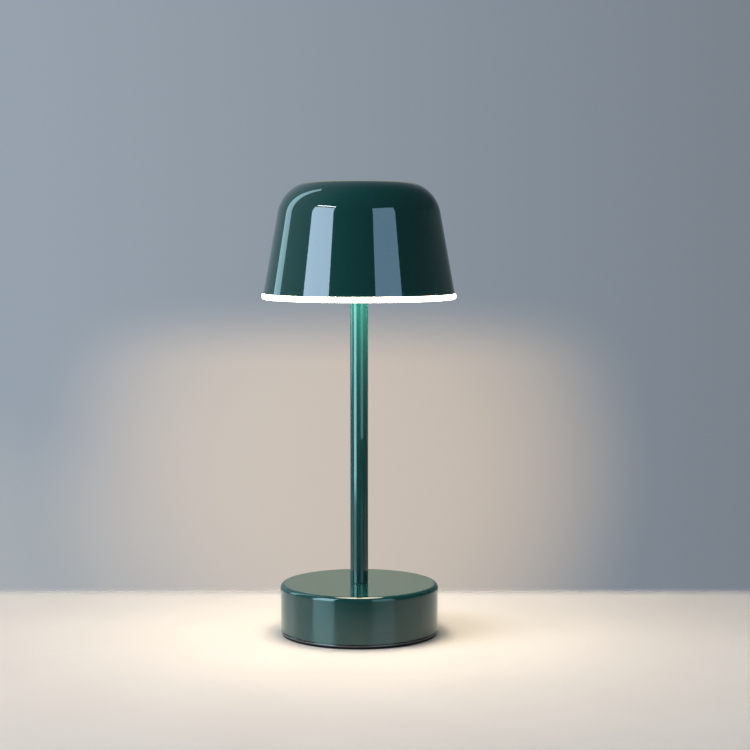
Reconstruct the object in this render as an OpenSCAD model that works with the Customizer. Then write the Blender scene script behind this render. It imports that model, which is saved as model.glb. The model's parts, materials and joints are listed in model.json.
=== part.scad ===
/* [Overall] */
// Height from the table to the top of the shade
lamp_h = 305.5; // [298:0.5:330]
// Running clearance on the radius of a turned fit
fit_gap = 0.05; // [0.02:0.01:0.08]

/* [Base] */
// Diameter of the painted base
base_d = 107; // [106:0.5:116]
// Height of the flat top of the base above the table
base_h = 34.4; // [34.4:0.1:38]
// Radius of the rounded top edge of the base
base_round = 3; // [2.5:0.5:6]
// Thickness of the drawn steel base shell
base_wall = 1; // [0.8:0.1:1.4]
// Thickness of the rubber foot pad
pad_t = 1.4; // [1:0.1:1.6]
// Thickness of the cover rim seen below the shell
rim_t = 1.3; // [1.2:0.1:1.8]
// Dark gap between the cover rim and the shell
rim_gap = 0.6; // [0.1:0.1:0.8]
// Thickness of the cast iron counterweight
weight_t = 6; // [4:0.5:6]
// Diameter of the circle of the cover screws
screw_circle_d = 88; // [86:1:90]

/* [Stem] */
// Outer diameter of the stem tube
stem_d = 12; // [12:0.5:14]
// Wall of the stem tube
stem_wall = 1.5; // [1.5:0.1:1.8]
// Major diameter of the lamp thread at both ends of the stem
thread_d = 10; // [10:0.1:10.4]
// Diameter of the wire bore through the threaded nipples
nipple_bore_d = 7; // [6.6:0.1:7.4]
// Length of thread that the base socket takes
thread_in_base = 7.2; // [7:0.1:8]
// Thickness of the washer under the stem
washer_t = 0.4; // [0.3:0.1:0.6]

/* [Shade] */
// Diameter of the shade at its lower edge
shade_d = 128.6; // [126:0.2:134]
// Height of the shade's painted metal
shade_h = 75; // [70:0.5:80]
// Radius of the round shoulder
shoulder_r = 25; // [22:0.5:28]
// Lean of the side from vertical, in degrees
side_lean = 10.2; // [8:0.1:11]
// Thickness of the drawn shade
shade_wall = 0.8; // [0.6:0.1:1.2]

/* [Diffuser] */
// How far the diffuser rim stands proud of the shade
rim_proud = 0.7; // [0.2:0.1:1]
// Height of the lit rim below the shade
diffuser_rim_h = 3.2; // [2.8:0.1:4]
// Thickness of the diffuser disc
diffuser_t = 2.4; // [2:0.1:2.6]
// Gap between the shade edge and the diffuser rim
diffuser_gap = 0.2; // [0.1:0.1:0.4]

/* [Charging inlet and button] */
// Height of the inlet's centre above the table
inlet_z = 11.6; // [11.6:0.1:12]
// Height of the button's centre above the table
button_z = 24; // [23.8:0.1:24.2]
// Diameter of the power button
button_d = 10; // [9:0.1:10]
// How far the button stands out of the base
button_proud = 1.3; // [1:0.1:1.8]
// Travel of the power button
button_travel = 0.8; // [0.3:0.1:0.8]

/* [Light source] */
// Diameter of the aluminium heat plate
plate_d = 72; // [70:1:74]
// Diodes in the inner ring
inner_diodes = 8; // [6:1:9]
// Diodes in the outer ring
outer_diodes = 14; // [10:1:15]

/* [Hidden] */
$fn = 96;

paint = "#124048";
steel = "#b9bcbf";
brass = "#c8a350";
black = "#1a1b1c";
white = "#f2efe8";

// Base heights and radii
base_r = base_d / 2;
cover_z = pad_t;
register_z = cover_z + rim_t;
shell_z = register_z + rim_gap;
shell_in_r = base_r - base_wall;
top_under_z = base_h - base_wall;
register_h = 1.9;
weight_z = register_z + register_h;
deck_z = weight_z + weight_t;
weight_r = shell_in_r - 2.3;
post_r = 4;
screw_angles = [30, 150, 270];

// Cell: a standard 18650
cell_d = 18.4;
cell_l = 65;
cell_y = -24;
cradle_floor = 1.4;
cell_z = deck_z + cradle_floor + cell_d / 2;
cradle_wall = 3;
cradle_w = cell_d + 2;
ear_x = 24;
ear_y = cell_y + cradle_w / 2 + 3;

// Upright circuit board with the inlet and the switch, behind the back wall
board_y = 40.2;
board_t = 1.6;
board_face_y = board_y + board_t;
board_w = 31;
board_z = [6.2, 31];
housing_w = 34;
housing_r = shell_in_r - 0.1;
pocket = [13.2, 7.2];
pocket_y = 49;
pocket_lip = 1;
socket_size = [8.94, 3.26];
socket_sheet = 0.3;
post_x = 12.5;
post_z = 20;
pipe_x = 11;
pipe_r = 1.25;
past_wall = 10;

// Power button and its switch; the travel sets the room between the flange and the switch
button_r = button_d / 2;
button_round = 0.8;
switch_h = 3.1;
plunger_r = 1.7;
plunger_y = board_face_y + 1.8;
flange_r = button_r + 1.2;
flange_t = 1;
flange_y = board_face_y + switch_h + button_travel + 0.2;
housing_in_y = flange_y + flange_t + 0.1;

// Stem heights and radii
stem_r = stem_d / 2;
thread_r = thread_d / 2;
nipple_bore_r = nipple_bore_d / 2;
washer_top = base_h + washer_t;
nipple_grip = 12;
nipple_foot = top_under_z - thread_in_base;
socket_flange = [18, 2.4];
socket_hub_r = 9;
socket_foot = 18;
holder_r = 7;
pin_r = 1;
sleeve_r = 1.9;
wire_hole_z = 272;

// Shade: a leaning side that runs into a round shoulder and a flat top
shade_r = shade_d / 2;
shade_foot = lamp_h - shade_h;
shoulder_z = lamp_h - shoulder_r;
shoulder_x = shade_r - (shoulder_r + (shoulder_z - shade_foot) * sin(side_lean)) / cos(side_lean);
shade_ceiling = lamp_h - shade_wall;

// Head: boss, heat plate and light board hang under the ceiling
boss_flange = [16, 3.5];
boss_flange_z = shade_ceiling - boss_flange[1];
boss_hub_r = 9;
boss_foot = shade_ceiling - 17;
plate_t = 2.5;
plate_z = boss_flange_z - plate_t;
led_board_t = 1.6;
led_board_z = plate_z - led_board_t;
plate_screw_r = 13;
led_board_r = plate_d / 2 - 2;

// Diffuser
diffuser_r = shade_r + rim_proud;
rim_top = shade_foot - diffuser_gap;
diffuser_foot = rim_top - diffuser_rim_h;
upstand_r = shade_r - 2.2;
upstand_t = 1.3;
upstand_h = 5;
grommet_r = stem_r + 1.8;

// Routes of the leads, in millimetres
battery_route = [
    [30.5, -24, 31.4], [35, -20, 31.2], [38, -8, 30], [35, 6, 29], [26, 17, 28.5], [15, 26, 28],
    [7, 30.4, 27.6], [3.6, 32.8, 27.4], [3, 35, 27.4], [3, 36.6, 27.4]
];
pin_route = [
    [0, 0, 15.3], [0, 0, 13.4], [-1.5, 3, 12.6], [-5, 11, 12.4], [-9, 21, 13.5], [-10.5, 29, 14.8],
    [-10.5, 34, 15.4], [-10.5, 37.7, 15.6]
];
socket_route = [
    [4.02, 8.11, 21], [5.3, 10.7, 21], [8, 17, 20.4], [10, 25, 18], [10.5, 31, 16.2],
    [10.5, 37.7, 15.6]
];
stem_wire_route = [
    [0, 0, 38], [0, 0, 90], [0, 0, 150], [0, 0, 210], [0, 0, 258], [0, 0.4, 265], [0, 2.2, 269.6],
    [0, 5.5, 272], [0, 9.5, 274.6], [0, 13, 279], [0, 15.6, 285], [0, 17.4, 290], [0, 18.6, 292.6]
];

// Point on a smooth curve through four neighbours, t from 0 to 1 between b and c
function spline(a, b, c, d, t) =
    0.5 * (2 * b + (c - a) * t + (2 * a - 5 * b + 4 * c - d) * t * t
    + (3 * b - a - 3 * c + d) * t * t * t);

// Smooth route through the points, with a few steps between each pair
function smooth(p, steps) = concat(
    [for (i = [0:len(p) - 2], k = [0:steps - 1])
        spline(p[max(i - 1, 0)], p[i], p[i + 1], p[min(i + 2, len(p) - 1)], k / steps)],
    [p[len(p) - 1]]
);
function unit(v) = v / norm(v);
function along(p, i) = unit(p[min(i + 1, len(p) - 1)] - p[max(i - 1, 0)]);

// Round lead swept along a route that never runs straight along the side direction
module lead(route, r, side, steps = 3, sides = 8) {
    p = smooth(route, steps);
    rings = [for (i = [0:len(p) - 1])
        let (t = along(p, i), u = unit(cross(t, side)), v = cross(u, t))
        for (k = [0:sides - 1]) p[i] + r * (cos(360 * k / sides) * u + sin(360 * k / sides) * v)];
    last = (len(p) - 1) * sides;
    walls = [for (i = [0:len(p) - 2], k = [0:sides - 1])
        let (n = (k + 1) % sides, a = i * sides)
        each [[a + k, a + n, a + sides + n], [a + k, a + sides + n, a + sides + k]]];
    caps = [[for (k = [sides - 1:-1:0]) k], [for (k = [0:sides - 1]) last + k]];
    polyhedron(rings, concat(walls, caps));
}

// Ring or tube between two heights
module tube(r_out, r_in, z0, z1) {
    difference() {
        translate([0, 0, z0]) cylinder(r = r_out, h = z1 - z0);
        translate([0, 0, z0 - 1]) cylinder(r = r_in, h = z1 - z0 + 2);
    }
}

// Solid rod between two heights
module rod(r, z0, z1) {
    translate([0, 0, z0]) cylinder(r = r, h = z1 - z0);
}

// Box between two corners
module block(low, high) {
    translate(low) cube(high - low);
}

// Rod along the back direction, between two depths
module back_rod(r, x, z, y0, y1) {
    translate([x, y0, z]) rotate([-90, 0, 0]) cylinder(r = r, h = y1 - y0);
}

// Long hole shape with round ends, extruded along the back direction
module back_slot(size, z, y0, y1) {
    translate([0, y0, z]) rotate([-90, 0, 0]) linear_extrude(y1 - y0) {
        square([size[0] - size[1], size[1]], center = true);
        for (side = [-1, 1]) translate([side * (size[0] - size[1]) / 2, 0]) circle(d = size[1]);
    }
}

// Half profile of a plain can with a rounded top edge
module can_profile(r, z0, z1, round) {
    translate([0, z0]) square([r, z1 - round - z0]);
    translate([0, z0]) square([r - round, z1 - z0]);
    translate([r - round, z1 - round]) circle(round);
}

// The right half of a flat shape
module right_half() {
    intersection() {
        children();
        translate([0, -lamp_h]) square([lamp_h, 3 * lamp_h]);
    }
}

// Copies its child at each cover screw
module at_cover_screws() {
    for (a = screw_angles) rotate(a) translate([screw_circle_d / 2, 0, 0]) children();
}

// Copies its child at each screw of the heat plate
module at_plate_screws() {
    for (a = [0:120:240]) rotate(a) translate([plate_screw_r, 0, 0]) children();
}

module base_shell() {
    color(paint) difference() {
        rotate_extrude() right_half() difference() {
            can_profile(base_r, shell_z, base_h, base_round);
            can_profile(shell_in_r, shell_z - 1, top_under_z, base_round - base_wall);
        }
        rod(thread_r + 0.6, top_under_z - 1, base_h + 1);
        back_slot(pocket + [2.2, 2.2] * pocket_lip, inlet_z, housing_in_y, base_r + past_wall);
        back_rod(button_r + 0.4, 0, button_z, housing_in_y, base_r + past_wall);
        back_rod(pipe_r + fit_gap, pipe_x, inlet_z, housing_in_y, base_r + past_wall);
    }
}

// Three threaded posts welded under the top of the shell
module shell_posts() {
    color(steel) at_cover_screws() difference() {
        rod(post_r, deck_z, top_under_z);
        rod(2, deck_z - 1, deck_z + 12);
    }
}

module bottom_cover() {
    color(black) difference() {
        union() {
            rod(base_r - 0.3, cover_z, register_z);
            rod(shell_in_r - 0.2, register_z, weight_z);
        }
        at_cover_screws() {
            rod(2.2, cover_z - 1, weight_z + 1);
            translate([0, 0, cover_z]) cylinder(r1 = 4, r2 = 2.2, h = 1.8);
        }
    }
}

module foot_pad() {
    color("#111111") rod(base_r - 0.8, 0, pad_t);
}

// Countersunk screws that hold the cover and the counterweight to the posts
module cover_screws() {
    color(steel) at_cover_screws() difference() {
        union() {
            translate([0, 0, cover_z + 0.1]) cylinder(r1 = 3.8, r2 = 2, h = 1.7);
            rod(1.95, cover_z + 0.1, deck_z + 8);
        }
        translate([0, 0, cover_z]) cylinder(r = 1.3, h = 1.2, $fn = 6);
    }
}

module counterweight() {
    color("#4b4d4f") difference() {
        rod(weight_r, weight_z, deck_z);
        at_cover_screws() rod(2.4, weight_z - 1, deck_z + 1);
        block([-22, 34, weight_z - 1], [22, weight_r + 1, deck_z + 1]);
        for (s = [-1, 1]) translate([s * ear_x, ear_y, 0]) rod(1.5, deck_z - 4, deck_z + 1);
    }
}

module battery_cell() {
    color("#3c78a8") translate([-cell_l / 2, cell_y, cell_z]) rotate([0, 90, 0]) {
        cylinder(d = cell_d, h = cell_l - 1.2);
        cylinder(d = 6, h = cell_l);
    }
}

// Saddle with end walls and two screwed ears
module battery_cradle() {
    half = [cell_l / 2 + cradle_wall, cradle_w / 2];
    color(black) difference() {
        union() {
            block([-half[0], cell_y - half[1], deck_z], [half[0], cell_y + half[1], cell_z + 3]);
            for (s = [-1, 1]) translate([s * ear_x, ear_y, deck_z]) block([-4, -4, 0], [4, 4, 2]);
        }
        translate([-cell_l / 2 - 0.1, cell_y, cell_z]) rotate([0, 90, 0])
            cylinder(d = cell_d + 0.2, h = cell_l + 0.2);
        block([-20, cell_y - 12, deck_z + 4], [20, cell_y + 12, cell_z + 4]);
        for (s = [-1, 1]) translate([s * ear_x, ear_y, 0]) rod(1.7, deck_z - 1, deck_z + 3);
    }
}

module cradle_screws() {
    color(steel) for (s = [-1, 1]) translate([s * ear_x, ear_y, 0]) difference() {
        union() {
            rod(2.7, deck_z + 2, deck_z + 4);
            rod(1.5, deck_z - 4, deck_z + 2);
        }
        translate([0, 0, deck_z + 3]) cylinder(r = 1.2, h = 2, $fn = 6);
    }
}

// Red and black leads from the two ends of the cell to the plug
module battery_leads() {
    color("#a32020") lead(battery_route, 0.8, [0, 0, 1]);
    color(black) mirror([1, 0, 0]) lead(battery_route, 0.8, [0, 0, 1]);
}

// Two-way plug on the inner face of the board, with a hole for each lead
module battery_plug() {
    color(white) difference() {
        block([-5, 35.2, 25.4], [5, board_y, 29.4]);
        for (s = [-1, 1]) back_rod(0.9, s * 3, 27.4, 34, 37.2);
    }
}

module main_board() {
    color("#14532d") difference() {
        block([-board_w / 2, board_y, board_z[0]], [board_w / 2, board_face_y, board_z[1]]);
        for (s = [-1, 1]) back_rod(1.3, s * post_x, post_z, board_y - 1, board_face_y + 1);
    }
}

// Chips, coil and capacitors, and the charge light beside the inlet
module board_parts() {
    color("#202224") {
        block([-4.5, board_y - 1.5, 17], [1.5, board_y, 22]);
        block([3, board_y - 1.2, 16], [7, board_y, 20]);
        block([-6, board_y - 3, 8], [0, board_y, 14]);
    }
    color("#8c6d46") for (i = [0:3]) block([2 + 2.6 * i, board_y - 1, 9], [3.6 + 2.6 * i, board_y, 12]);
    color("#d8c9a0") {
        translate([pipe_x, board_face_y, inlet_z]) block([-0.8, 0, -0.5], [0.8, 0.7, 0.5]);
        for (s = [-1, 1]) translate([s * 10.5, board_y, 15.6]) block([-2, -2.4, -2], [2, 0, 2]);
    }
}

module board_screws() {
    color(steel) for (s = [-1, 1]) {
        back_rod(2, s * post_x, post_z, board_y - 1.5, board_y);
        back_rod(1.2, s * post_x, post_z, board_y, 46);
    }
}

// Moulding behind the back wall: it lines the inlet, guides the button and carries the board
module port_housing() {
    color(black) difference() {
        union() {
            intersection() {
                rod(housing_r, 6.2, 31);
                block([-housing_w / 2, housing_in_y, 6.2], [housing_w / 2, base_r, 31]);
            }
            intersection() {
                rod(base_r + 0.2, 0, base_h);
                back_slot(pocket + [2, 2] * pocket_lip, inlet_z, pocket_y, base_r + past_wall);
            }
            for (s = [-1, 1]) back_rod(2.6, s * post_x, post_z, board_face_y, housing_in_y + 1);
        }
        back_slot(pocket, inlet_z, pocket_y, base_r + past_wall);
        back_slot(socket_size + [0.2, 0.2], inlet_z, housing_in_y - 1, pocket_y + 1);
        back_rod(button_r + fit_gap, 0, button_z, housing_in_y - 1, base_r + past_wall);
        back_rod(pipe_r + fit_gap, pipe_x, inlet_z, housing_in_y - 1, base_r + past_wall);
        for (s = [-1, 1]) back_rod(1.2, s * post_x, post_z, board_face_y - 1, 46.5);
    }
}

module usb_socket() {
    color(steel) difference() {
        back_slot(socket_size, inlet_z, board_face_y, pocket_y);
        back_slot(socket_size - [2, 2] * socket_sheet, inlet_z, board_face_y - 1, pocket_y + 1);
    }
}

module usb_tongue() {
    color(black) {
        back_slot(socket_size - [2, 2] * socket_sheet, inlet_z, board_face_y, board_face_y + 2);
        block([-3.34, board_face_y + 1, inlet_z - 0.35], [3.34, pocket_y - 0.8, inlet_z + 0.35]);
    }
}

module light_pipe() {
    color("#e8f0f0") back_rod(pipe_r, pipe_x, inlet_z, board_face_y + 1.2, base_r - 1);
}

module switch_body() {
    color("#26282a") difference() {
        block([-3, board_face_y, button_z - 3], [3, board_face_y + switch_h, button_z + 3]);
        back_rod(plunger_r + 0.1, 0, button_z, plunger_y - button_travel - 0.2, flange_y);
    }
}

// Button cap with a rounded face and a flange that keeps it in its guide
module power_button() {
    face_y = base_r + button_proud;
    color(steel) translate([0, flange_y, button_z]) rotate([-90, 0, 0]) rotate_extrude()
        right_half() {
            square([flange_r, flange_t]);
            can_profile(button_r, 0, face_y - flange_y, button_round);
        }
}

module switch_plunger() {
    color("#3a3c3e") back_rod(plunger_r, 0, button_z, plunger_y, flange_y);
}

// Threaded socket welded under the top of the base
module stem_socket() {
    color(steel) difference() {
        union() {
            rod(socket_flange[0], top_under_z - socket_flange[1], top_under_z);
            rod(socket_hub_r, socket_foot, top_under_z);
        }
        rod(thread_r + fit_gap, socket_foot - 1, top_under_z + 1);
        rod(holder_r, socket_foot - 1, socket_foot + 5);
    }
}

module contact_holder() {
    color(black) difference() {
        rod(holder_r - fit_gap, socket_foot - 1, socket_foot + 5);
        rod(pin_r, socket_foot - 2, socket_foot + 6);
    }
}

module contact_pin() {
    color(brass) rod(pin_r, 15.4, base_h - 0.4);
}

// Leads from the pin and from the socket's hub to the board
module contact_leads() {
    color("#a32020") lead(pin_route, 0.8, [1, 0, 0]);
    color(black) lead(socket_route, 0.8, [1, 0, 0]);
}

module stem_washer() {
    color("#0c2a2b") tube(stem_r - 0.25, thread_r + 0.2, base_h, washer_top);
}

module stem_tube() {
    color(paint) difference() {
        rod(stem_r, washer_top, boss_foot);
        rod(stem_r - stem_wall, washer_top - 1, boss_foot + 1);
        rod(thread_r, washer_top - 1, washer_top + nipple_grip);
        rod(thread_r, boss_foot - nipple_grip, boss_foot + 1);
        back_rod(2.6, 0, wire_hole_z, 0, stem_r + 1);
    }
}

// Hollow threaded nipple in the foot of the stem, drawn at its major diameter
module base_nipple() {
    color(brass) tube(thread_r, nipple_bore_r, nipple_foot, washer_top + nipple_grip);
}

module plug_insulator() {
    color(black) tube(nipple_bore_r, sleeve_r, nipple_foot + 0.2, washer_top + 2.6);
}

module contact_sleeve() {
    color(brass) difference() {
        rod(sleeve_r, nipple_foot + 0.4, washer_top + 3.2);
        rod(pin_r + fit_gap, nipple_foot - 1, washer_top + 1.2);
    }
}

module stem_wire() {
    color("#e6e6e2") lead(stem_wire_route, 1.7, [1, 0, 0]);
}

module head_nipple() {
    color(brass) tube(thread_r, nipple_bore_r, boss_foot - nipple_grip, boss_foot + 11);
}

// Half profile of the shade's skin, moved inward by a wall
module shade_profile(wall) {
    r = shoulder_r - wall;
    foot_r = shade_r - wall / cos(side_lean);
    translate([shoulder_x, shoulder_z]) circle(r);
    translate([0, shade_foot]) square([shoulder_x, shoulder_z + r - shade_foot]);
    polygon([
        [0, shade_foot], [foot_r, shade_foot],
        [shoulder_x + r * cos(side_lean), shoulder_z + r * sin(side_lean)],
        [0, shoulder_z + r * sin(side_lean)]
    ]);
}

module shade() {
    color(paint) difference() {
        rotate_extrude() right_half() shade_profile(0);
        rotate_extrude() right_half() {
            shade_profile(shade_wall);
            translate([0, shade_foot - 1]) square([shade_r - shade_wall / cos(side_lean), 1.01]);
        }
    }
}

// Threaded boss welded under the shade's ceiling
module shade_boss() {
    color(steel) difference() {
        union() {
            rod(boss_flange[0], boss_flange_z, shade_ceiling);
            rod(boss_hub_r, boss_foot, shade_ceiling);
        }
        rod(thread_r, boss_foot - 1, boss_foot + 12);
        at_plate_screws() rod(1.5, boss_flange_z - 1, shade_ceiling - 0.8);
    }
}

module heat_plate() {
    color("#c9ccce") difference() {
        tube(plate_d / 2, boss_hub_r + 0.1, plate_z, boss_flange_z);
        at_plate_screws() rod(1.7, plate_z - 1, boss_flange_z + 1);
    }
}

module plate_screws() {
    color(steel) at_plate_screws() difference() {
        union() {
            rod(2.6, led_board_z - 1.8, led_board_z);
            rod(1.5, led_board_z, shade_ceiling - 1.2);
        }
        translate([0, 0, led_board_z - 2.8]) cylinder(r = 1.2, h = 2, $fn = 6);
    }
}

module led_board() {
    color(white) difference() {
        tube(led_board_r, boss_hub_r + 0.6, led_board_z, plate_z);
        at_plate_screws() rod(1.7, led_board_z - 1, plate_z + 1);
    }
}

// Two rings of small square diodes
module led_chips() {
    color("#f0d060") for (ring = [[inner_diodes, 20.5], [outer_diodes, 29.5]], i = [0:ring[0] - 1])
        rotate(360 * (i + 0.5) / ring[0] + 90) translate([ring[1] - 1.4, -1.75, led_board_z - 0.8])
            cube([2.8, 3.5, 0.8]);
}

module led_connector() {
    color(white) block([-3.4, 17.2, led_board_z - 3.6], [3.4, 21.6, led_board_z]);
}

// White cone that mixes the light between the board and the diffuser
module reflector() {
    top_r = led_board_r + 0.6;
    foot_r = upstand_r - upstand_t - 0.4;
    foot_z = rim_top + 1.2;
    color(white) rotate_extrude() polygon([
        [top_r, led_board_z], [top_r + 1, led_board_z], [foot_r, foot_z + 2], [foot_r, foot_z],
        [foot_r - 1, foot_z]
    ]);
}

// Opal disc with a lit rim, an upstand inside the shade and a hole for the stem
module diffuser() {
    edge = 1;
    floor_top = diffuser_foot + diffuser_t;
    color(white) rotate_extrude() difference() {
        union() {
            translate([0, diffuser_foot]) square([diffuser_r - edge, diffuser_t]);
            translate([diffuser_r - 2 * edge - 1, diffuser_foot + edge])
                square([2 * edge + 1, diffuser_rim_h - edge]);
            translate([diffuser_r - edge, diffuser_foot + edge]) circle(edge);
            translate([upstand_r - upstand_t, floor_top - 0.2])
                square([upstand_t, rim_top + upstand_h - floor_top]);
        }
        translate([-1, diffuser_foot - 1]) square([grommet_r - 0.6 + 1, diffuser_t + 2]);
    }
}

// Soft ring between the stem and the diffuser, with a groove for the disc's edge
module stem_grommet() {
    color(white) difference() {
        tube(grommet_r + 0.6, stem_r + fit_gap, diffuser_foot - 0.8, diffuser_foot + diffuser_t + 0.8);
        tube(grommet_r + 2, grommet_r - 0.6, diffuser_foot, diffuser_foot + diffuser_t);
    }
}

base_shell();
shell_posts();
bottom_cover();
foot_pad();
cover_screws();
counterweight();
battery_cell();
battery_cradle();
cradle_screws();
battery_leads();
battery_plug();
main_board();
board_parts();
board_screws();
port_housing();
usb_socket();
usb_tongue();
light_pipe();
switch_body();
power_button();
switch_plunger();
stem_socket();
contact_holder();
contact_pin();
contact_leads();
stem_washer();
stem_tube();
base_nipple();
plug_insulator();
contact_sleeve();
stem_wire();
head_nipple();
shade();
shade_boss();
heat_plate();
plate_screws();
led_board();
led_chips();
led_connector();
reflector();
diffuser();
stem_grommet();
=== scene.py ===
"""Looks of a green, cordless, rechargeable table lamp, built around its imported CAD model.

Shapes are written in millimetres and made in metres. Azimuths are in degrees round the lamp, from the
camera's side towards the left, so 180 is behind the lamp.
"""
import json
import math

import bmesh
import bpy
import numpy as np
from mathutils import Matrix, Vector


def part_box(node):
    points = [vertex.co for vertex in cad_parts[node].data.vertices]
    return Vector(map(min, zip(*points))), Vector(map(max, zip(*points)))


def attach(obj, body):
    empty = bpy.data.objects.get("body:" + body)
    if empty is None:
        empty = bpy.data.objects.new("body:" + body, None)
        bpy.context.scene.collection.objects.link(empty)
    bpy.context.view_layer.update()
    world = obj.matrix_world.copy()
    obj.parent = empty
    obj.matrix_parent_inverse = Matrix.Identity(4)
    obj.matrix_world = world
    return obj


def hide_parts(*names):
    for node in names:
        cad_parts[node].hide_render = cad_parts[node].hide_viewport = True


MM = 0.001

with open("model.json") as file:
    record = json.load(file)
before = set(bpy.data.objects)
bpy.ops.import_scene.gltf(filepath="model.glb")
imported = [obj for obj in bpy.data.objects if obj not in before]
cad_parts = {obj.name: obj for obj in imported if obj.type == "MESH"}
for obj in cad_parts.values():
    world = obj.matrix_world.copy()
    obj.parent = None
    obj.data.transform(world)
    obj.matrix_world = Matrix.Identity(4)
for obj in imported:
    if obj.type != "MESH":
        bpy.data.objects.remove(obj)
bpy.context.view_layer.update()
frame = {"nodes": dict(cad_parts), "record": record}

# ---------------------------------------------------------------- sizes, in millimetres

BASE_ROUND = 3.0
RIM_T = 1.3
BASE_WALL = 1.0
BASE_HOLE_R = 5.6
REGISTER_GAP = 0.2
COVER_SCREW_R = 44.0
COVER_SCREW_ANGLES = (30, 150, 270)
COVER_SCREW_HOLE_R = 2.2
COVER_SINK = (5.0, 1.8)
PAD_GROOVES = (12, 20, 28, 36, 44)
PAD_GROOVE = (1.4, 0.45)
STEM_BORE_R = 4.5
NIPPLE_R = 5.0
NIPPLE_BORE_R = 3.5
NIPPLE_GRIP = 12.0
WIRE_HOLE = (272.0, 2.6)
SHADE_WALL = 0.8
SHADE_LEAN = math.radians(10.2)
SHOULDER_R = 25.0
DISC_T = 2.4
RIM_H = 3.2
UPSTAND = (62.1, 1.3)
STEM_HOLE_R = 7.2
INLET_Z = 11.6
INLET_HOLE = (15.4, 9.4)
BUTTON_Z = 24.0
BUTTON_R = 5.0
BUTTON_FLANGE = (6.2, 1.0)
BUTTON_DISH = (3.9, 1.8, 0.3)
BUTTON_GAP = 0.4
PIPE_X = 11.0
PIPE_HOLE_R = 1.3
CELL_SLEEVE_X = 30.6
THREAD_PITCH = 1.0
THREAD_DEPTH = 0.61
CUT_REACH = (6.0, 10.0)
MERGE = 0.001

# ---------------------------------------------------------------- studio

CAMERA_PLACE = (0.0107, -1.280, 0.2785)
CAMERA_TILT = math.radians(4.59)
CAMERA_LENS = 91.54

# Softboxes, which only reflect: low and high middle points as (azimuth, distance, height), width, radiance
PANELS = {
    "key_low": ((51.7, 0.9, -0.15), (51.7, 0.9, 0.32), 0.53, (5.4, 10.6, 12.1)),
    "key_high": ((51.7, 0.9, 0.43), (51.7, 0.9, 0.80), 0.53, (7.7, 10.4, 13.4)),
    "fill_low": ((-35.8, 0.9, 0.03), (-35.8, 0.9, 0.32), 0.52, (1.4, 2.7, 3.1)),
    "fill_high": ((-35.8, 0.9, 0.445), (-35.8, 0.9, 0.80), 0.52, (2.1, 3.5, 5.1)),
    "rim_strip": ((108, 0.64, 0.12), (131, 0.79, 1.50), 0.16, (2.2, 3.6, 4.1)),
    "top_bar": ((50, 0.9, 0.86), (50, 0.9, 0.90), 0.50, (36, 38, 38)),
}

# Soft washes, which never reflect, and the height they face: azimuth, elevation, distance, diameter, radiance
WASH_AIM = 0.15
WASHES = {
    "left_wash": (68, 24, 2.4, 2.0, (7.9, 7.9, 8.2)),
    "right_wash": (-50, 24, 2.4, 2.0, (1.6, 1.6, 1.7)),
    "table_wash": (0, 90, 1.4, 0.6, (6.2, 6.2, 6.4)),
}

# Soft glows of the room: azimuth, elevation, inner angle, outer angle, radiance, and the elevations over
# which a glow is cut off above. The last two are the lamp's own warm light on the wall behind it.
GLOWS = (
    (120, 0, 20, 100, (0.30, 0.35, 0.41), None),
    (180, 16, 4, 9, (0.31, 0.26, 0.10), None),
    (180, -90, 50, 80, (0.50, 0.48, 0.44), None),
    (-60, 0, 72, 120, (0.07, 0.075, 0.08), (17, 8)),
    (179, -7.4, 1, 9.5, (0.33, 0.22, 0.11), (-2.0, -4.4)),
    (168, -11, 0, 6, (0.07, 0.05, 0.02), None),
)
AMBIENT = (0.06, 0.07, 0.08)
LED_RADIANCE = 22.3

# The backdrop, in metres: radius, the heights that its light runs between, and the shares of the radius
# over which it turns clear in front of the room's wall
BACKDROP_R = 3.0
BACKDROP_HEIGHTS = (-1.6, 0.6)
BACKDROP_WINDOW = (0.72, 0.93)
BACKDROP_LIGHT = ((0.0, (0.50, 0.48, 0.45)), (0.7, (0.42, 0.42, 0.42)), (1.0, (0.30, 0.335, 0.365)))

# The tabletop, in metres: where it darkens in front, a painted shade that only the copy which reflections see
# shows, and where it fades out behind and all round
TABLE_FRONT_SHADE = (-0.075, -0.235)
TABLE_BACK = (0.125, 0.160)
TABLE_EDGE = (0.50, 0.85)


def toward(azimuth, elevation):
    """Unit vector from the lamp."""
    a, e = math.radians(azimuth), math.radians(elevation)
    return Vector((-math.sin(a) * math.cos(e), -math.cos(a) * math.cos(e), math.sin(e)))


def place_of(azimuth, distance, height):
    """Point at this distance from the lamp's axis."""
    return toward(azimuth, 0) * distance + Vector((0, 0, height))


def make_camera():
    data = bpy.data.cameras.new("camera")
    data.lens = CAMERA_LENS
    data.clip_end = 50
    camera = bpy.data.objects.new("camera", data)
    camera.location = CAMERA_PLACE
    camera.rotation_euler = (math.pi / 2 - CAMERA_TILT, 0, 0)
    bpy.context.scene.collection.objects.link(camera)
    bpy.context.scene.camera = camera


def make_light(name, shape, size, area, radiance, matrix):
    """Area light of an even radiance, not seen by the camera itself."""
    data = bpy.data.lights.new(name, "AREA")
    data.shape = shape
    data.size, data.size_y = size
    strength = max(radiance)
    data.color = [c / strength for c in radiance]
    data.energy = strength * math.pi * area
    light = bpy.data.objects.new(name, data)
    light.matrix_world = matrix
    light.visible_camera = False
    bpy.context.scene.collection.objects.link(light)
    return light


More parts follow.
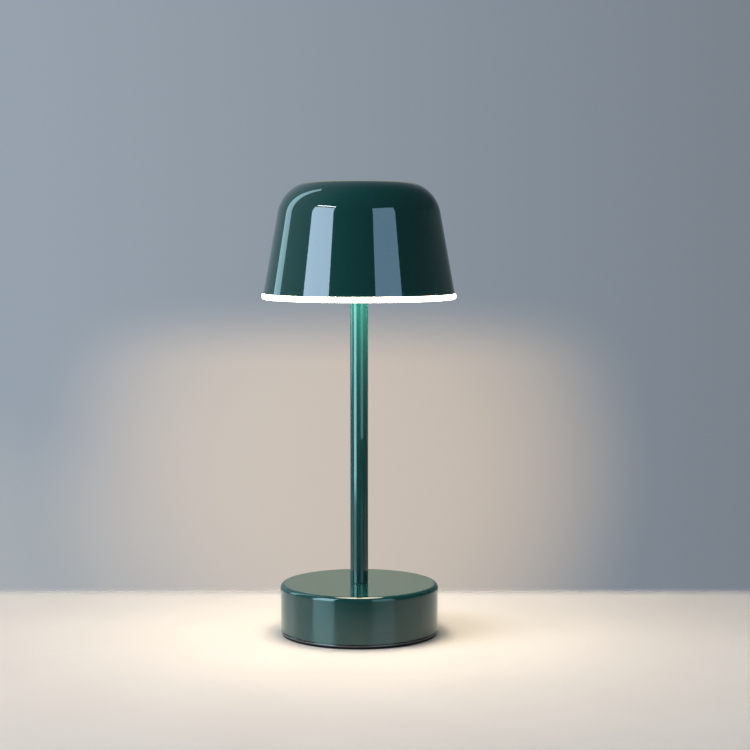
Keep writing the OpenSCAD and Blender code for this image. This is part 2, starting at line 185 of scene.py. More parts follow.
def make_panel(name, low, high, width, radiance):
    """Rectangular softbox that faces the lamp and shows only in its reflections."""
    low, high = place_of(*low), place_of(*high)
    up = (high - low).normalized()
    middle = (low + high) / 2
    back = Vector((middle.x, middle.y, 0))
    back = (back - up * back.dot(up)).normalized()
    height = (high - low).length
    turn = Matrix((up.cross(back), up, back)).transposed()
    matrix = Matrix.Translation(middle) @ turn.to_4x4()
    panel = make_light(name, "RECTANGLE", (width, height), width * height, radiance, matrix)
    panel.visible_diffuse = False


def make_wash(name, azimuth, elevation, distance, diameter, radiance):
    """Round light that faces the lamp and shows in no reflection."""
    away = toward(azimuth, elevation)
    middle = Vector((0, 0, WASH_AIM)) + away * distance
    matrix = Matrix.Translation(middle) @ away.to_track_quat("Z", "Y").to_matrix().to_4x4()
    wash = make_light(name, "DISK", (diameter, diameter), math.pi * diameter ** 2 / 4, radiance, matrix)
    wash.visible_glossy = False


# ---------------------------------------------------------------- node trees

def connect(tree, socket, value):
    """Links a socket, or sets its value."""
    if isinstance(value, bpy.types.NodeSocket):
        tree.links.new(value, socket)
    else:
        socket.default_value = value


def add(tree, kind, inputs=None, **settings):
    """A new shader node with these settings, and values or links on these inputs."""
    made = tree.nodes.new("ShaderNode" + kind)
    for name, value in settings.items():
        setattr(made, name, value)
    for name, value in (inputs or {}).items():
        connect(tree, made.inputs[name], value)
    return made


def spot(tree):
    """Where the point lies in the lamp's own frame, in metres."""
    return add(tree, "TexCoord").outputs["Object"]


def stretched(tree, x=1.0, y=1.0, z=1.0):
    """The same place with its axes scaled, for grain that runs one way."""
    return add(tree, "VectorMath", {0: spot(tree), 1: (x, y, z)}, operation="MULTIPLY").outputs[0]


def noise(tree, size, detail=2.0, vector=None):
    """Cloudy noise, from 0 to 1, whose features are this many millimetres across."""
    inputs = {"Vector": vector or spot(tree), "Scale": 1 / (size * MM), "Detail": detail}
    return add(tree, "TexNoise", inputs).outputs["Fac"]


def cells(tree, size, output="Color"):
    """Random cells this many millimetres across."""
    inputs = {"Vector": spot(tree), "Scale": 1 / (size * MM)}
    return add(tree, "TexVoronoi", inputs).outputs[output]


def spread(tree, value, low, high, start=0.0, stop=1.0):
    """Value from start to stop, mapped to low to high."""
    inputs = {"Value": value, "From Min": start, "From Max": stop, "To Min": low, "To Max": high}
    return add(tree, "MapRange", inputs).outputs["Result"]


def fade(tree, value, start, stop):
    """Smooth rise from 0 at start to 1 at stop."""
    inputs = {"Value": value, "From Min": start, "From Max": stop}
    return add(tree, "MapRange", inputs, interpolation_type="SMOOTHSTEP").outputs["Result"]


def ramp(tree, value, *stops):
    """Colour by value, through (position, colour) stops."""
    made = add(tree, "ValToRGB", {"Fac": value})
    elements = made.color_ramp.elements
    while len(elements) < len(stops):
        elements.new(1.0)
    for element, (position, colour) in zip(elements, stops):
        element.position = position
        element.color = (*colour, 1)
    return made.outputs["Color"]


def times(tree, a, b):
    return add(tree, "Math", {0: a, 1: b}, operation="MULTIPLY").outputs[0]


def above(tree, value, limit):
    """1 where the value is over the limit, and 0 elsewhere."""
    return add(tree, "Math", {0: value, 1: limit}, operation="GREATER_THAN").outputs[0]


def choose(tree, share, a, b):
    """Colour a where share is 0, colour b where it is 1."""
    made = add(tree, "Mix", data_type="RGBA")
    for place, value in ((0, share), (6, a), (7, b)):
        if isinstance(value, tuple):
            value = (*value, 1)
        connect(tree, made.inputs[place], value)
    return made.outputs[2]


def bump(tree, height, depth, normal=None):
    """Normal of a surface whose height goes up to this many millimetres."""
    inputs = {"Height": height, "Distance": depth * MM}
    if normal:
        inputs["Normal"] = normal
    return add(tree, "Bump", inputs).outputs["Normal"]


def axis_of(tree, axis):
    """One coordinate of the place, in metres."""
    return add(tree, "SeparateXYZ", {0: spot(tree)}).outputs[axis]


def distance_from(tree, centre, across):
    """Distance from a line through centre; across is 1 on the axes that count, and 0 on the line's own."""
    shifted = add(tree, "VectorMath", {0: spot(tree), 1: centre}, operation="SUBTRACT").outputs[0]
    flat = add(tree, "VectorMath", {0: shifted, 1: across}, operation="MULTIPLY").outputs[0]
    return add(tree, "VectorMath", {0: flat}, operation="LENGTH").outputs["Value"]


def shader(name, **values):
    """New material: its tree and its shader, with constants on the shader's own sockets."""
    material = bpy.data.materials.new(name)
    material.use_nodes = True
    surface = material.node_tree.nodes["Principled BSDF"]
    for socket, value in values.items():
        surface.inputs[socket.replace("_", " ")].default_value = value
    return material, material.node_tree, surface


def drive(tree, surface, **sockets):
    """Links or values on the shader's sockets."""
    for socket, value in sockets.items():
        connect(tree, surface.inputs[socket.replace("_", " ")], value)


# ---------------------------------------------------------------- materials

def green_enamel():
    """Deep green lacquer: fine flakes under a thick, clear, glossy coat."""
    material, tree, surface = shader(
        "green_enamel", Metallic=0.03, Specular_IOR_Level=0.0,
        Coat_Weight=1.0, Coat_Roughness=0.02, Coat_IOR=1.5)
    flake = cells(tree, 0.3)
    clouds = noise(tree, 30)
    shade = ramp(tree, flake, (0.0, (0.0030, 0.029, 0.027)), (0.7, (0.0042, 0.037, 0.035)),
                 (0.93, (0.0060, 0.047, 0.044)), (1.0, (0.0150, 0.125, 0.115)))
    colour = choose(tree, spread(tree, clouds, 0, 0.5), shade, (0.0042, 0.036, 0.034))
    drive(tree, surface,
          Base_Color=colour,
          Roughness=spread(tree, noise(tree, 4), 0.40, 0.52),
          Normal=bump(tree, cells(tree, 0.3, "Distance"), 0.012),
          Coat_Normal=bump(tree, noise(tree, 3.5, 1), 0.0012))
    return material


def opal_acrylic():
    """Lit opal disc: brightest near the stem, over the diodes, and dimmer towards the rim."""
    material, tree, surface = shader(
        "opal_acrylic", IOR=1.49, Subsurface_Weight=0.3, Subsurface_Scale=0.002,
        Emission_Strength=LED_RADIANCE)
    radius = distance_from(tree, (0, 0, 0), (1, 1, 0))
    out = spread(tree, radius, 0, 1, 0.006, 0.066)
    light = ramp(tree, out, (0.0, (1.20, 1.03, 0.78)), (0.25, (1.05, 0.89, 0.66)),
                 (0.55, (1.0, 0.85, 0.63)), (0.90, (0.72, 0.63, 0.48)), (1.0, (0.40, 0.37, 0.30)))
    grain = noise(tree, 0.25)
    drive(tree, surface,
          Base_Color=ramp(tree, noise(tree, 12), (0.0, (0.93, 0.90, 0.85)), (1.0, (0.97, 0.95, 0.90))),
          Emission_Color=light,
          Roughness=spread(tree, grain, 0.26, 0.38),
          Normal=bump(tree, grain, 0.004))
    return material


def moulded(name, dark, light, roughness=(0.4, 0.55), grain_size=0.2, grain=0.006, **values):
    """Moulded plastic or rubber with a fine spark-eroded grain and a little unevenness of colour."""
    material, tree, surface = shader(name, **values)
    fine = noise(tree, grain_size, 3)
    drive(tree, surface,
          Base_Color=ramp(tree, noise(tree, 6), (0.3, dark), (0.7, light)),
          Roughness=spread(tree, fine, *roughness),
          Normal=bump(tree, fine, grain))
    return material


def green_polymer():
    return moulded("green_polymer", (0.006, 0.028, 0.027), (0.008, 0.036, 0.034), (0.38, 0.50))


def foot_rubber():
    return moulded("foot_rubber", (0.003, 0.003, 0.003), (0.006, 0.006, 0.006), (0.68, 0.88), 0.35, 0.03,
                   Specular_IOR_Level=0.1)


def black_gloss():
    """Black cover with a worn gloss: fine hairline marks from being slid about."""
    material, tree, surface = shader("black_gloss", Coat_Weight=0.6, Coat_Roughness=0.08)
    marks = noise(tree, 1.2, 6, stretched(tree, 0.15, 1, 1))
    drive(tree, surface,
          Base_Color=ramp(tree, noise(tree, 5), (0.3, (0.014, 0.014, 0.015)), (0.7, (0.022, 0.022, 0.024))),
          Roughness=spread(tree, marks, 0.16, 0.34),
          Normal=bump(tree, marks, 0.002))
    return material


def black_plastic():
    return moulded("black_plastic", (0.016, 0.016, 0.017), (0.026, 0.026, 0.028), (0.42, 0.60))


def white_plastic():
    return moulded("white_plastic", (0.80, 0.80, 0.77), (0.88, 0.88, 0.86), (0.35, 0.48))


def white_silicone():
    return moulded("white_silicone", (0.74, 0.72, 0.67), (0.82, 0.80, 0.76), (0.55, 0.72), 0.3, 0.008,
                   Subsurface_Weight=0.4, Subsurface_Scale=0.001)


def machined(name, dark, light, rings, roughness=(0.22, 0.38), depth=0.002, **values):
    """Metal with fine tool marks; rings is the coordinate that the marks follow."""
    material, tree, surface = shader(name, Metallic=1.0, **values)
    line = add(tree, "CombineXYZ", {0: rings(tree)}).outputs[0]
    marks = noise(tree, 0.12, 4, line)
    drive(tree, surface,
          Base_Color=ramp(tree, noise(tree, 4), (0.3, dark), (0.7, light)),
          Roughness=spread(tree, marks, *roughness),
          Normal=bump(tree, marks, depth))
    return material


def button_metal():
    """Turned metal button: the marks run in rings round its own axis."""
    return machined("button_metal", (0.58, 0.59, 0.60), (0.66, 0.67, 0.68),
                    lambda tree: distance_from(tree, (0, 0, BUTTON_Z * MM), (1, 0, 1)))


def zinc_steel():
    """Zinc-plated steel: pale blue-grey with a faint spangle."""
    material, tree, surface = shader("zinc_steel", Metallic=1.0)
    drive(tree, surface,
          Base_Color=ramp(tree, cells(tree, 2.5), (0.2, (0.50, 0.51, 0.54)), (0.8, (0.60, 0.61, 0.62))),
          Roughness=spread(tree, noise(tree, 1.0, 4), 0.26, 0.44),
          Normal=bump(tree, noise(tree, 0.15), 0.002))
    return material


def cast_weight():
    """Sand-cast iron: a coarse, dark, pitted skin."""
    material, tree, surface = shader("cast_weight", Metallic=0.85)
    skin = noise(tree, 1.1, 6)
    drive(tree, surface,
          Base_Color=ramp(tree, skin, (0.3, (0.045, 0.042, 0.042)), (0.75, (0.16, 0.155, 0.15))),
          Roughness=spread(tree, skin, 0.55, 0.80),
          Normal=bump(tree, skin, 0.12))
    return material


def cell_can():
    """Shrink sleeve on a cell, with bare steel at its ends."""
    material, tree, surface = shader("cell_can")
    along = add(tree, "Math", {0: axis_of(tree, "X")}, operation="ABSOLUTE").outputs[0]
    bare = above(tree, along, CELL_SLEEVE_X * MM)
    wrinkle = noise(tree, 0.6, 3, stretched(tree, 0.1, 1, 1))
    sleeve = ramp(tree, noise(tree, 8), (0.3, (0.035, 0.13, 0.27)), (0.7, (0.045, 0.16, 0.32)))
    drive(tree, surface,
          Base_Color=choose(tree, bare, sleeve, (0.60, 0.60, 0.61)),
          Metallic=bare,
          Roughness=spread(tree, wrinkle, 0.22, 0.40),
          Normal=bump(tree, wrinkle, 0.02))
    return material


def brass():
    return machined("brass", (0.60, 0.42, 0.16), (0.72, 0.53, 0.22),
                    lambda tree: axis_of(tree, "Z"), (0.20, 0.36), 0.001)


def plate_aluminium():
    return machined("plate_aluminium", (0.72, 0.73, 0.74), (0.80, 0.81, 0.82),
                    lambda tree: axis_of(tree, "X"), (0.30, 0.46))


def led_board_white():
    return moulded("led_board_white", (0.80, 0.80, 0.79), (0.86, 0.86, 0.85), (0.30, 0.42), 0.4, 0.003)


def led_phosphor():
    """Diodes: a yellow phosphor with a fine grain."""
    material, tree, surface = shader("led_phosphor", Coat_Weight=0.4)
    grain = noise(tree, 0.12, 3)
    drive(tree, surface,
          Base_Color=ramp(tree, grain, (0.3, (0.80, 0.56, 0.08)), (0.8, (0.92, 0.72, 0.18))),
          Roughness=spread(tree, grain, 0.28, 0.42),
          Normal=bump(tree, grain, 0.01))
    return material


def circuit_green():
    """Solder mask over copper tracks, which show as paler, raised bands."""
    material, tree, surface = shader("circuit_green", Coat_Weight=0.5, Coat_Roughness=0.12)
    turned = add(tree, "Mapping", {"Vector": spot(tree), "Rotation": (math.pi / 2, 0, 0)}).outputs[0]
    tracks = add(tree, "TexBrick", {
        "Vector": turned, "Scale": 1 / (9 * MM), "Mortar Size": 0.03, "Mortar Smooth": 0.2,
        "Color1": (0, 0, 0, 1), "Color2": (0, 0, 0, 1), "Mortar": (1, 1, 1, 1)}).outputs["Color"]
    drive(tree, surface,
          Base_Color=choose(tree, tracks, (0.010, 0.085, 0.035), (0.030, 0.17, 0.07)),
          Roughness=spread(tree, noise(tree, 0.5), 0.30, 0.42),
          Normal=bump(tree, tracks, 0.03))
    return material


def board_parts():
    """Black chip bodies, with tan capacitors in the low corner."""
    left, top = 1.8 * MM, 12.5 * MM
    material, tree, surface = shader("board_parts")
    row = times(tree, above(tree, axis_of(tree, "X"), left),
                above(tree, times(tree, axis_of(tree, "Z"), -1.0), -top))
    grain = noise(tree, 0.2, 3)
    drive(tree, surface,
          Base_Color=choose(tree, row, (0.020, 0.020, 0.022), (0.30, 0.17, 0.07)),
          Roughness=spread(tree, grain, 0.40, 0.60),
          Normal=bump(tree, grain, 0.008))
    return material


def clear_acrylic():
    """Clear light guide with a faintly frosted end."""
    material, tree, surface = shader("clear_acrylic", Transmission_Weight=0.9, IOR=1.49)
    frost = noise(tree, 0.15, 3)
    drive(tree, surface,
          Base_Color=ramp(tree, frost, (0.3, (0.86, 0.90, 0.90)), (0.7, (0.94, 0.96, 0.96))),
          Roughness=spread(tree, frost, 0.06, 0.26),
          Normal=bump(tree, frost, 0.004))
    return material


def lead_sheath(name="lead_sheath", red_side=1.0):
    """Insulation of a pair of leads: red on one side of the lamp, black on the other."""
    parting = -0.9 * MM
    material, tree, surface = shader(name)
    red = above(tree, times(tree, axis_of(tree, "X"), red_side), parting)
    grain = noise(tree, 0.4, 3)
    drive(tree, surface,
          Base_Color=choose(tree, red, (0.020, 0.020, 0.021), (0.36, 0.016, 0.014)),
          Roughness=spread(tree, grain, 0.34, 0.50),
          Normal=bump(tree, grain, 0.006))
    return material


def lead_white():
    return moulded("lead_white", (0.74, 0.74, 0.71), (0.82, 0.82, 0.80), (0.34, 0.50), 0.4, 0.006)


def pale_tabletop(name, pale, front_shade_share, **values):
    """Plain pale table with a fine grain, clear from below. Its front is darkened to this share of the
    colour: painted shade.
    """
    material, tree, surface = shader(name, **values)
    fine = noise(tree, 2.5, 4)
    behind = axis_of(tree, "Y")
    clouds = ramp(tree, noise(tree, 90, 3), (0.3, pale), (0.7, tuple(value + 0.02 for value in pale)))
    # Painted shade: the table's front is darkened to this share of its colour.
    dark = add(tree, "VectorMath", {0: clouds, "Scale": front_shade_share}, operation="SCALE").outputs[0]
    drive(tree, surface,
          Base_Color=choose(tree, fade(tree, behind, *TABLE_FRONT_SHADE), clouds, dark),
          Roughness=spread(tree, fine, 0.28, 0.36),
          Normal=bump(tree, fine, 0.002))
    radius = distance_from(tree, (0, 0, 0), (1, 1, 0))
    facing = add(tree, "SeparateXYZ", {0: add(tree, "NewGeometry").outputs["Normal"]}).outputs["Z"]
    gone = fade(tree, facing, 0.5, 0.2)
    for share in (fade(tree, radius, *TABLE_EDGE), fade(tree, behind, *TABLE_BACK)):
        gone = add(tree, "Math", {0: gone, 1: share}, operation="MAXIMUM").outputs[0]
    clear = add(tree, "BsdfTransparent").outputs[0]
    mixed = add(tree, "MixShader", {0: gone, 1: surface.outputs[0], 2: clear}).outputs[0]
    tree.links.new(mixed, tree.nodes["Material Output"].inputs["Surface"])
    return material


def glow(tree, direction, azimuth, elevation, inner, outer, radiance, cut_off):
    """Round soft glow in the room, which may be cut off above."""
    facing = add(tree, "VectorMath", {0: direction, 1: toward(azimuth, elevation)},
                 operation="DOT_PRODUCT").outputs["Value"]
    share = fade(tree, facing, math.cos(math.radians(outer)), math.cos(math.radians(inner)))
    if cut_off:
        height = add(tree, "SeparateXYZ", {0: direction}).outputs["Z"]
        limits = [math.sin(math.radians(angle)) for angle in cut_off]
        share = times(tree, share, fade(tree, height, *limits))
    return add(tree, "VectorMath", {0: radiance, "Scale": share}, operation="SCALE").outputs[0]


def make_world():
    """The room: an even ambient light with soft glows."""
    world = bpy.data.worlds.new("room")
    world.use_nodes = True
    bpy.context.scene.world = world
    tree = world.node_tree
    direction = add(tree, "TexCoord").outputs["Generated"]
    total = AMBIENT
    for facts in GLOWS:
        light = glow(tree, direction, *facts)
        total = add(tree, "VectorMath", {0: total, 1: light}, operation="ADD").outputs[0]
    tree.links.new(total, tree.nodes["Background"].inputs["Color"])


# ---------------------------------------------------------------- turned shapes

def span(node):
    """Outer radius, lowest and highest level of an upright, turned CAD node, in millimetres."""
    low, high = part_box(node)
    return high.x / MM, low.z / MM, high.z / MM


def unit(v):
    return v / np.hypot(*v)


def rounded(corners, steps=5):
    """Closed counterclockwise outline through corners (r, z, fillet): rows (r, z, normal r, normal z)."""
    corners = [(*corner, 0.0)[:3] for corner in corners]
    points = np.array([corner[:2] for corner in corners], float)
    after = np.roll(points, -1, 0)
    if (points[:, 0] * after[:, 1] - after[:, 0] * points[:, 1]).sum() < 0:
        corners, points = corners[::-1], points[::-1]
    rows = []
    for i, (r, _, fillet) in enumerate(corners):
        point = points[i]
        came, goes = unit(point - points[i - 1]), unit(points[(i + 1) % len(points)] - point)
        if r == 0:
            edge = goes if points[i - 1][0] == 0 else came
            rows.append((*point, edge[1], -edge[0]))
            continue
        turn = math.atan2(came[0] * goes[1] - came[1] * goes[0], came @ goes)
        side = math.copysign(1.0, turn)
        start = point - came * fillet * math.tan(abs(turn) / 2)
        centre = start - side * fillet * np.array([came[1], -came[0]])
        heading = math.atan2(-came[0], came[1])
        shares = np.linspace(0, 1, steps + 1) if fillet else [0.5]
        for share in shares:
            normal = np.array([math.cos(heading + turn * share), math.sin(heading + turn * share)])
            rows.append((*(centre + side * fillet * normal), *normal))
    return np.array(rows)


def turned_mesh(name, outline, segments, stretch):
    """Sweeps the outline round the Z axis. A stretch pulls the halves apart along X, into a slot."""
    half = segments // 2
    columns = [(-90 + 180 * k / half, stretch) for k in range(half + 1)]
    columns += [(90 + 180 * k / half, -stretch) for k in range(half + 1)]
    mesh = bpy.data.meshes.new(name)
    shape = bmesh.new()
    grid = []
    for angle, shift in columns:
        c, s = math.cos(math.radians(angle)), math.sin(math.radians(angle))
        grid.append([shape.verts.new((r * c + shift, r * s, z)) for r, z, *_ in outline])
    rows = len(outline)
    for k, column in enumerate(grid):
        beside = grid[(k + 1) % len(grid)]
        for i in range(rows):
            j = (i + 1) % rows
            if outline[i][0] > 0 or outline[j][0] > 0:
                shape.faces.new((column[i], beside[i], beside[j], column[j]))
    bmesh.ops.remove_doubles(shape, verts=shape.verts, dist=MERGE)
    shape.to_mesh(mesh)
    shape.free()
    return mesh


def exact_normals(mesh, outline):
    """Gives face corners the outline's own normal, for clean reflections. What a cut left is flat."""
    at = np.array([v.co for v in mesh.vertices])
    radius = np.hypot(at[:, 0], at[:, 1])
    spots = np.stack([radius, at[:, 2]], 1)
    a, b = outline, np.roll(outline, -1, 0)
    off_axis = (a[:, 0] > 0) | (b[:, 0] > 0)
    a, b = a[off_axis], b[off_axis]
    edge = b[:, :2] - a[:, :2]
    length = np.maximum((edge ** 2).sum(1), 1e-12)
    share = ((spots[:, None] - a[:, :2]) * edge).sum(2) / length
    share = np.clip(share, 0, 1)
    gap = np.linalg.norm(spots[:, None] - a[:, :2] - share[..., None] * edge, axis=2)
    best = gap.argmin(1)
    share = share[np.arange(len(at)), best][:, None]
    flat = a[best, 2:] * (1 - share) + b[best, 2:] * share
    flat /= np.maximum(np.linalg.norm(flat, axis=1), 1e-9)[:, None]
    safe = np.maximum(radius, 1e-9)
    normal = np.stack([flat[:, 0] * at[:, 0] / safe, flat[:, 0] * at[:, 1] / safe, flat[:, 1]], 1)
    corners = []
    for face in mesh.polygons:
        face.use_smooth = True
        own = np.array(face.normal)
        for v in face.vertices:
            corners.append(normal[v] if normal[v] @ own > 0.7 else own)
    mesh.normals_split_custom_set([tuple(c) for c in corners])


def cut(piece, cutters):
    """Takes the cutters out of the piece, and removes them."""
    for cutter in cutters:
        modifier = piece.modifiers.new("cut", "BOOLEAN")
        modifier.operation = "DIFFERENCE"
        modifier.solver = "EXACT"
        modifier.object = cutter
    graph = bpy.context.evaluated_depsgraph_get()
    mesh = bpy.data.meshes.new_from_object(piece.evaluated_get(graph))
    piece.modifiers.clear()
    piece.data = mesh
    for cutter in cutters:
        bpy.data.objects.remove(cutter)


def solid(name, corners, segments=192, steps=5, stretch=0.0, place=None):
    """Turned object, still in millimetres, in place, with no material."""
    outline = rounded(corners, steps)
    made = bpy.data.objects.new(name, turned_mesh(name, outline, segments, stretch))
    bpy.context.scene.collection.objects.link(made)
    if place:
        made.data.transform(place)
    return made, outline


def turned(name, corners, body, slot, *nodes, segments=192, steps=5, place=None, cutters=()):
    """Turned piece that stands for CAD nodes, rides on a body, and wears a slot's material."""
    piece, outline = solid(name, corners, segments, steps)
    if cutters:
        cut(piece, cutters)
    exact_normals(piece.data, outline)
    if place:
        piece.data.transform(place)
    return dressed(piece, body, slot, *nodes)


def dressed(piece, body, slot, *nodes):
    """Brings a piece from millimetres to metres, and gives it its body, its nodes and its material."""
    piece.data.transform(Matrix.Scale(MM, 4))
    piece.data.materials.clear()
    piece.data.materials.append(MATERIALS[slot])
    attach(piece, body)
    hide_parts(*nodes)
    return piece


def back_place(x, y, z):
    """Turns a shape's axis from up to the lamp's back, with its foot at this point."""
    return Matrix.Translation((x, y, z)) @ Matrix.Rotation(-math.pi / 2, 4, "X")


def cutter(r, length, place, stretch=0.0):
    """Plain rod to cut with."""
    return solid("cutter", [(0, 0), (r, 0), (r, length), (0, length)], 96, 1, stretch, place)[0]


# ---------------------------------------------------------------- pieces

def base_skin():
    """Painted can with a rounded top edge, cut at the back for the inlet, button and charge light."""
    r, low, high = span("base_shell")
    inner, ceiling = r - BASE_WALL, high - BASE_WALL
    reach_in, reach_out = CUT_REACH
    start = inner - reach_in
    depth = r + reach_out - start
    inlet_length, inlet_height = INLET_HOLE
    holes = [
        cutter(inlet_height / 2, depth, back_place(0, start, INLET_Z), (inlet_length - inlet_height) / 2),
        cutter(BUTTON_R + BUTTON_GAP, depth, back_place(0, start, BUTTON_Z)),
        cutter(PIPE_HOLE_R, depth, back_place(PIPE_X, start, INLET_Z)),
    ]
    corners = [
        (r, low, 0.3), (r, high, BASE_ROUND), (BASE_HOLE_R, high, 0.25), (BASE_HOLE_R, ceiling, 0.2),
        (inner, ceiling, BASE_ROUND - BASE_WALL), (inner, low, 0.3),
    ]
    turned("base_skin", corners, "base", "green_enamel", "base_shell",
           segments=256, steps=14, cutters=holes)


def cover_rim():
    """Black cover whose rim shows below the painted base, drilled and countersunk for its screws."""
    r, low, high = span("bottom_cover")
    register_r = span("base_shell")[0] - BASE_WALL - REGISTER_GAP
    step = low + RIM_T
    hole_r = COVER_SCREW_HOLE_R
    sink_r, sink_depth = COVER_SINK
    sink = [(0, low - 1), (sink_r, low - 1), (hole_r, low + sink_depth), (hole_r, high + 1), (0, high + 1)]
    holes = []
    for angle in COVER_SCREW_ANGLES:
        place = Matrix.Rotation(math.radians(angle), 4, "Z") @ Matrix.Translation((COVER_SCREW_R, 0, 0))
        holes.append(solid("cutter", sink, 48, 1, 0.0, place)[0])
    corners = [
        (0, low), (r, low, 0.35), (r, step, 0.45),
        (register_r, step, 0.1), (register_r, high, 0.3), (0, high),
    ]
    turned("cover_rim", corners, "base", "black_gloss", "bottom_cover", segments=256, cutters=holes)


def rubber_pad():
    """Foot pad with moulded grip grooves in its underside."""
    r, low, high = span("foot_pad")
    width, depth = PAD_GROOVE
    corners = [(0, low)]
    for groove in PAD_GROOVES:
        corners += [(groove, low, 0.15), (groove, low + depth, 0.15),
                    (groove + width, low + depth, 0.15), (groove + width, low, 0.15)]
    corners += [(r, low, 0.4), (r, high, 0.2), (0, high)]
    turned("rubber_pad", corners, "base", "foot_rubber", "foot_pad", segments=192, steps=3)


def button_cap():
    """Metal button with a shallow dish for the fingertip and a flange inside."""
    low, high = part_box("power_button")
    height = (high.y - low.y) / MM
    flange_r, flange_t = BUTTON_FLANGE
    dish_r, floor_r, dish_depth = BUTTON_DISH
    floor = height - dish_depth
    corners = [
        (0, 0), (flange_r, 0, 0.15), (flange_r, flange_t, 0.15), (BUTTON_R, flange_t, 0.1),
        (BUTTON_R, height, 0.6), (dish_r, height, 5), (floor_r, floor, 10), (0, floor),
    ]
    turned("button_cap", corners, "button", "button_metal", "power_button", segments=128, steps=8,
           place=back_place(0, low.y / MM, BUTTON_Z))


def light_guide():
    """Clear rod with a domed end beside the inlet."""
    low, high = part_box("light_pipe")
    r, height = (high.x - low.x) / 2 / MM, (high.y - low.y) / MM
    corners = [(0, 0), (r, 0, 0.1), (r, height, 0.5), (0, height)]
    turned("light_guide", corners, "base", "clear_acrylic", "light_pipe", segments=64, steps=6,
           place=back_place(PIPE_X, low.y / MM, INLET_Z))


def thin_washer():
    r, low, high = span("stem_washer")
    bore = NIPPLE_R + 0.2
    corners = [(r, low, 0.1), (r, high, 0.1), (bore, high, 0.1), (bore, low, 0.1)]
    turned("thin_washer", corners, "washer", "green_polymer", "stem_washer", segments=128)


def painted_stem():
    """Stem tube, bored out at both ends for the nipples, with a side hole for the wire under the shade."""
    r, low, high = span("stem_tube")
    hole_z, hole_r = WIRE_HOLE
    corners = [
        (r, low, 0.35), (r, high, 0.35), (NIPPLE_R, high, 0.15), (NIPPLE_R, high - NIPPLE_GRIP, 0.1),
        (STEM_BORE_R, high - NIPPLE_GRIP, 0.1), (STEM_BORE_R, low + NIPPLE_GRIP, 0.1),
        (NIPPLE_R, low + NIPPLE_GRIP, 0.1), (NIPPLE_R, low, 0.15),
    ]
    hole = cutter(hole_r, r + 1, back_place(0, 0, hole_z))
    turned("painted_stem", corners, "head", "green_enamel", "stem_tube", segments=128, cutters=[hole])


def threaded_nipple(name, node):
    """Hollow brass nipple with a true right-hand screw thread, which runs out into plain ends."""
    r, low, high = span(node)
    root = r - THREAD_DEPTH
    form = [(0.0, root), (0.25, root), (0.5625, r), (0.6875, r)]  # share of the pitch, radius
    segments = 72
    turns = math.ceil((high - low) / THREAD_PITCH) + 2
    rows = [(turn + phase, radius) for turn in range(-1, turns) for phase, radius in form]
    mesh = bpy.data.meshes.new(name)
    shape = bmesh.new()
    grid = []
    for k in range(segments + 1):
        angle = 2 * math.pi * k / segments
        column = []
        for advance, radius in rows:
            z = low + (advance + k / segments) * THREAD_PITCH
            if z < low or z > high:
                z, radius = min(max(z, low), high), root
            column.append(shape.verts.new((radius * math.cos(angle), radius * math.sin(angle), z)))
        bore_x, bore_y = NIPPLE_BORE_R * math.cos(angle), NIPPLE_BORE_R * math.sin(angle)
        for z in (high, low):
            column.append(shape.verts.new((bore_x, bore_y, z)))
        grid.append(column)
    count = len(grid[0])
    for column, beside in zip(grid, grid[1:]):
        for i in range(count):
            j = (i + 1) % count
            shape.faces.new((column[i], beside[i], beside[j], column[j]))
    bmesh.ops.remove_doubles(shape, verts=shape.verts, dist=MERGE)
    bmesh.ops.recalc_face_normals(shape, faces=shape.faces)
    shape.to_mesh(mesh)
    shape.free()
    mesh.shade_smooth()
    mesh.set_sharp_from_angle(angle=math.radians(24))
    piece = bpy.data.objects.new(name, mesh)
    bpy.context.scene.collection.objects.link(piece)
    dressed(piece, "head", "brass", node)


def shade_skin():
    """Drawn shade: a side that leans out to its foot, a round shoulder and a flat top."""
    r, low, high = span("shade")
    inner = r - SHADE_WALL / math.cos(SHADE_LEAN)
    ceiling = high - SHADE_WALL
    lean = math.tan(SHADE_LEAN)
    corners = [
        (r, low, 0.3), (r - (high - low) * lean, high, SHOULDER_R), (0, high), (0, ceiling),
        (inner - (ceiling - low) * lean, ceiling, SHOULDER_R - SHADE_WALL), (inner, low, 0.3),
    ]
    turned("shade_skin", corners, "head", "green_enamel", "shade", segments=320, steps=28)


def opal_disc():
    """Diffuser: a disc with a hole for the stem, a lit rim and an upstand that hides in the shade."""
    r, low, high = span("diffuser")
    rim_top = low + RIM_H
    outer, thick = UPSTAND
    floor = low + DISC_T
    corners = [
        (STEM_HOLE_R, low, 0.3), (r, low, 1.0), (r, rim_top, 0.5), (outer, rim_top, 0.2),
        (outer, high, 0.3), (outer - thick, high, 0.3), (outer - thick, floor, 0.5),
        (STEM_HOLE_R, floor, 0.3),
    ]
    turned("opal_disc", corners, "head", "opal_acrylic", "diffuser", segments=320, steps=8)


def soft_grommet():
    """Ring between the stem and the diffuser, with a groove that the disc's edge sits in."""
    r, low, high = span("stem_grommet")
    bore = span("stem_tube")[0] + 0.05
    foot = span("diffuser")[1]
    corners = [
        (bore, low, 0.3), (r, low, 0.35), (r, foot, 0.1), (STEM_HOLE_R, foot, 0.1),
        (STEM_HOLE_R, foot + DISC_T, 0.1), (r, foot + DISC_T, 0.1), (r, high, 0.35), (bore, high, 0.3),
    ]
    turned("soft_grommet", corners, "head", "white_silicone", "stem_grommet", segments=128)


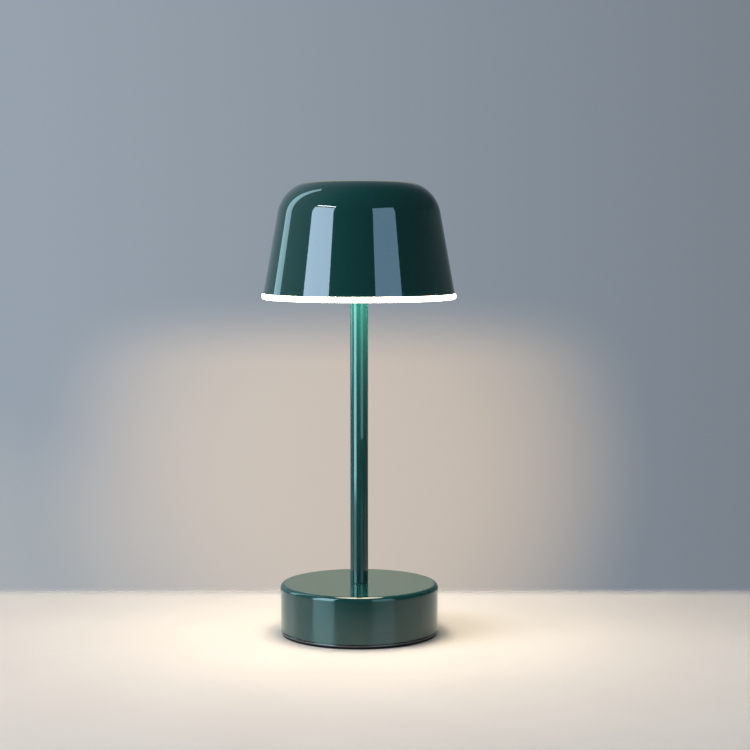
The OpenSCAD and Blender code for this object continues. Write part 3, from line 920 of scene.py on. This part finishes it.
def tabletop(name, level, reflected, *colour_and_front_shade, **values):
    """Round plain table. Only reflections see a reflected one, and they see no other. The reflected one's
    paler colour and dark front are a painted reflection and painted shade.
    """
    edge, thickness = 900.0, 20.0
    corners = [(0, level), (0, level - thickness), (edge, level - thickness, 2), (edge, level, 2)]
    table, _ = solid(name, corners, 96, 3)
    table.data.transform(Matrix.Scale(MM, 4))
    table.data.materials.append(pale_tabletop(name + "_lacquer", *colour_and_front_shade, **values))
    table.visible_glossy = reflected
    for kind in ("camera", "diffuse", "shadow"):
        setattr(table, "visible_" + kind, not reflected)


def backdrop_paint():
    """Plain pale backdrop, lighter below, clear in front of the wall that the first camera sees."""
    material, tree, _ = shader("backdrop_paint")
    height = axis_of(tree, "Z")
    around = add(tree, "VectorMath", {0: spot(tree), 1: toward(180, 0)},
                 operation="DOT_PRODUCT").outputs["Value"]
    colour = ramp(tree, spread(tree, height, 0, 1, *BACKDROP_HEIGHTS), *BACKDROP_LIGHT)
    light = add(tree, "Emission", {"Color": colour})
    clear = add(tree, "BsdfTransparent").outputs[0]
    window = fade(tree, around, *(BACKDROP_R * share for share in BACKDROP_WINDOW))
    mixed = add(tree, "MixShader", {0: window, 1: light.outputs[0], 2: clear}).outputs[0]
    tree.links.new(mixed, tree.nodes["Material Output"].inputs["Surface"])
    return material


def backdrop():
    """Domed studio backdrop that only the camera sees."""
    r = BACKDROP_R / MM
    arc = [(r * math.sin(math.radians(a)), -r * math.cos(math.radians(a))) for a in range(6, 180, 6)]
    corners = [(0, -r), *arc, (0, r)]
    dome, _ = solid("backdrop", corners, 96, 1)
    dome.data.transform(Matrix.Scale(MM, 4))
    dome.data.materials.append(backdrop_paint())
    for kind in ("diffuse", "glossy", "transmission", "volume_scatter", "shadow"):
        setattr(dome, "visible_" + kind, False)


# ---------------------------------------------------------------- the lamp

MAKERS = (
    green_enamel, green_polymer, opal_acrylic, foot_rubber, black_gloss, black_plastic, white_plastic,
    white_silicone, button_metal, zinc_steel, cast_weight, cell_can, brass, plate_aluminium,
    led_board_white, led_phosphor, circuit_green, board_parts, clear_acrylic, lead_sheath, lead_white,
)
MATERIALS = {maker.__name__: maker() for maker in MAKERS}


def wear(node, material):
    """Puts a material on a CAD node."""
    mesh = frame["nodes"][node].data
    mesh.materials.clear()
    mesh.materials.append(material)


def dress_nodes():
    """Every CAD node wears its record slot's material. The contact leads are red on the other side."""
    for part in frame["record"]["subparts"]:
        wear(part["node"], MATERIALS[part["material_slot"]])
    wear("contact_leads", lead_sheath("contact_sheath", red_side=-1.0))


make_camera()
make_world()
for panel, facts in PANELS.items():
    make_panel(panel, *facts)
for wash, facts in WASHES.items():
    make_wash(wash, *facts)
bpy.context.scene.view_settings.view_transform = "Standard"
# The layer that reflections see lies above the other, which would keep the light from it.
tabletop("tabletop", -0.05, False, (0.535, 0.505, 0.468), 1.0, Specular_IOR_Level=0.0)
# The layer that reflections see is painted paler than the one that is seen, and darkened in front: a painted
# reflection and painted shade.
tabletop("tabletop_painted_reflection", -0.03, True, (0.70, 0.70, 0.65), 0.15, Specular_IOR_Level=0.28)
backdrop()
dress_nodes()
base_skin()
cover_rim()
rubber_pad()
button_cap()
light_guide()
thin_washer()
painted_stem()
threaded_nipple("foot_nipple", "base_nipple")
threaded_nipple("top_nipple", "head_nipple")
shade_skin()
opal_disc()
soft_grommet()
